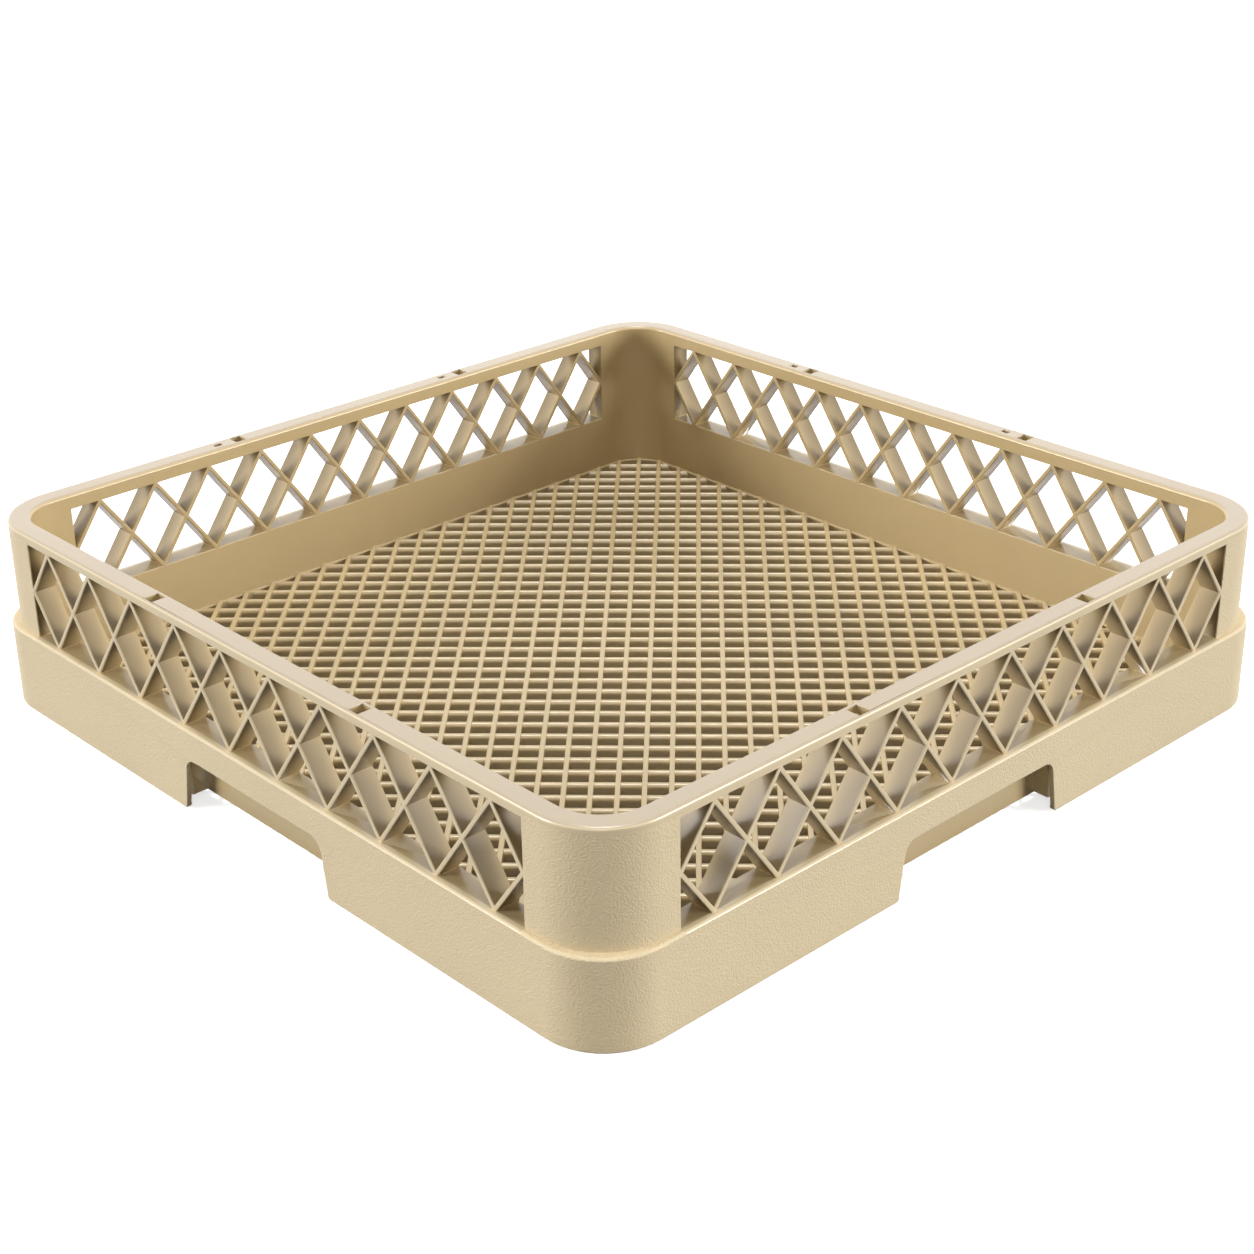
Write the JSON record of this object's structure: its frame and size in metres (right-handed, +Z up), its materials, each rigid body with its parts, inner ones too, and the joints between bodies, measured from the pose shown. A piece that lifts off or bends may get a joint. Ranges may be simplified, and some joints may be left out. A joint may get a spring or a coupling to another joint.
{
  "type": "dishwasher cutlery rack",
  "caption": "Low square plastic rack for washing loose cutlery, with diamond lattice walls, a mesh floor, a stepped skirt with hand notches and a flat rim for stacking.",
  "frame": {"origin": "centre of the rack on the plane that its skirt stands on", "axes": "+Z up, +X towards the right wall, -Y towards the front wall"},
  "size_m": [0.5, 0.5, 0.108],
  "materials": {
    "plastic": "tan, fine grain outside and satin inside"
  },
  "bodies": {
    "root": {"cutlery_rack": "plastic"}
  },
  "joints": []
}
